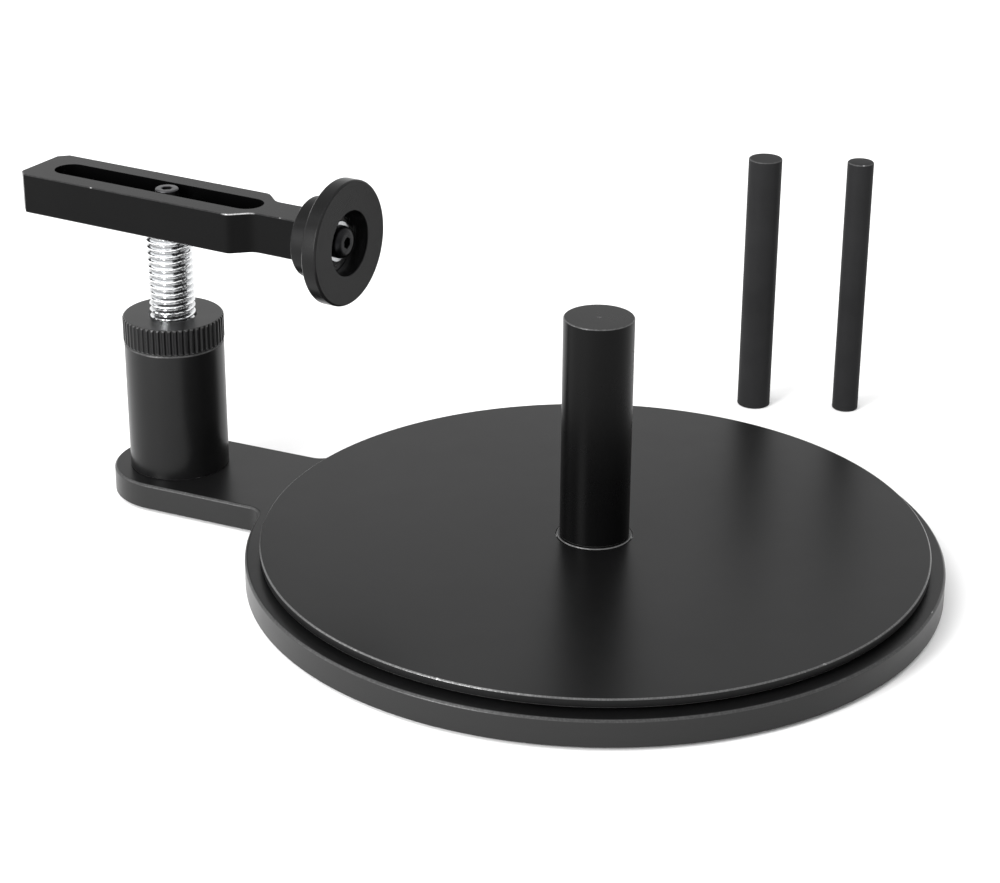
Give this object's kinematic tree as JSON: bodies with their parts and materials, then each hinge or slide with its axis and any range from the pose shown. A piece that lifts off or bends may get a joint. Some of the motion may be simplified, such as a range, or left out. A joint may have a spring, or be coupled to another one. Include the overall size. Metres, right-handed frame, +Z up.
{
  "type": "spool holder stand",
  "caption": "Bench stand for a spool lying flat: a bearing turntable round a fixed spindle, and a threaded column with a slotted arm and flanged guide wheel.",
  "frame": {"origin": "on the table, directly under the spindle's axis", "axes": "+Z up along the spindle, -X from the spindle towards the column, +Y to the side away from the arm's swing"},
  "size_m": [0.2863, 0.2536, 0.1093],
  "materials": {
    "base_black": "satin black anodised",
    "disc_black": "satin black anodised, fine blasted",
    "spindle_black": "satin black anodised, turned",
    "spare_black": "satin black anodised, drawn rod",
    "column_black": "satin black anodised, turned",
    "ring_black": "satin black anodised, fluted",
    "arm_black": "satin black anodised, milled",
    "wheel_black": "satin black anodised, turned",
    "screw_black": "black oxide",
    "clamp_black": "black oxide, worn on the rim",
    "stud_zinc": "bright zinc plated thread",
    "washer_zinc": "zinc plated",
    "seat_black": "black oxide, bright on its rim",
    "seat_steel": "turned steel",
    "bearing_steel": "ground bearing steel",
    "ball_steel": "polished balls",
    "cage_steel": "pressed steel",
    "shield_steel": "pressed steel",
    "seal_rubber": "black nitrile",
    "foot_rubber": "matte black rubber"
  },
  "bodies": {
    "stand": {"base_plate": "base_black", "rubber_feet": "foot_rubber", "spindle_screw": "screw_black", "spindle_seat": "seat_black", "spindle_post": "spindle_black", "spare_spindle_medium": "spare_black", "spare_spindle_small": "spare_black", "main_bearing_inner_ring": "bearing_steel", "column": "column_black", "column_screws": "screw_black"},
    "turntable": {"turntable_disc": "disc_black", "main_bearing_outer_ring": "bearing_steel", "main_bearing_shields": "shield_steel"},
    "main_ball_set": {"main_bearing_balls": "ball_steel", "main_bearing_cage": "cage_steel"},
    "lock_ring": {"lock_ring": "ring_black"},
    "height_washer": {"clamp_spring_washer": "washer_zinc"},
    "stud": {"threaded_stud": "stud_zinc", "clamp_screw": "clamp_black"},
    "swivel_washer": {"clamp_washer": "washer_zinc"},
    "arm": {"guide_arm": "arm_black", "axle_screw": "screw_black", "axle_washer": "washer_zinc", "axle_spacer": "seat_steel", "wheel_bearing_inner_ring": "bearing_steel"},
    "wheel": {"guide_wheel": "wheel_black", "wheel_bearing_outer_ring": "bearing_steel", "wheel_bearing_seals": "seal_rubber"},
    "wheel_ball_set": {"wheel_bearing_balls": "ball_steel", "wheel_bearing_cage": "cage_steel"}
  },
  "joints": [
    {"name": "disc_spin", "type": "hinge", "parent": "stand", "child": "turntable", "pos_m": [0, 0, 0.0093], "axis": [0, 0, 1], "continuous": true},
    {"name": "main_balls_roll", "type": "hinge", "parent": "stand", "child": "main_ball_set", "pos_m": [0, 0, 0.0093], "axis": [0, 0, 1], "continuous": true},
    {"name": "lock_ring_turn", "type": "hinge", "parent": "stand", "child": "lock_ring", "pos_m": [-0.1383, 0, 0.0535], "axis": [0, 0, 1], "range_deg": [0, 90]},
    {"name": "arm_height", "type": "slide", "parent": "stand", "child": "height_washer", "axis": [0, 0, 1], "range_m": [-0.0273, 0.006]},
    {"name": "stud_turn", "type": "hinge", "parent": "height_washer", "child": "stud", "pos_m": [-0.1383, 0, 0.06], "axis": [0, 0, 1], "range_deg": [-4914, 1080]},
    {"name": "arm_swivel", "type": "hinge", "parent": "height_washer", "child": "swivel_washer", "pos_m": [-0.1383, 0, 0.0915], "axis": [0, 0, 1], "continuous": true},
    {"name": "arm_slide", "type": "slide", "parent": "swivel_washer", "child": "arm", "axis": [0.9965, -0.0837, 0], "range_m": [-0.0278, 0.0346]},
    {"name": "wheel_spin", "type": "hinge", "parent": "arm", "child": "wheel", "pos_m": [-0.08299, -0.00464, 0.09095], "axis": [0.9965, -0.0837, 0], "continuous": true},
    {"name": "wheel_balls_roll", "type": "hinge", "parent": "arm", "child": "wheel_ball_set", "pos_m": [-0.08299, -0.00464, 0.09095], "axis": [0.9965, -0.0837, 0], "continuous": true}
  ],
  "couplings": [
    {"joint": "main_balls_roll", "follows": "disc_spin", "ratio": 0.561},
    {"joint": "wheel_balls_roll", "follows": "wheel_spin", "ratio": 0.6458},
    {"joint": "stud_turn", "follows": "arm_height", "rad_per_m": 3141.6}
  ]
}
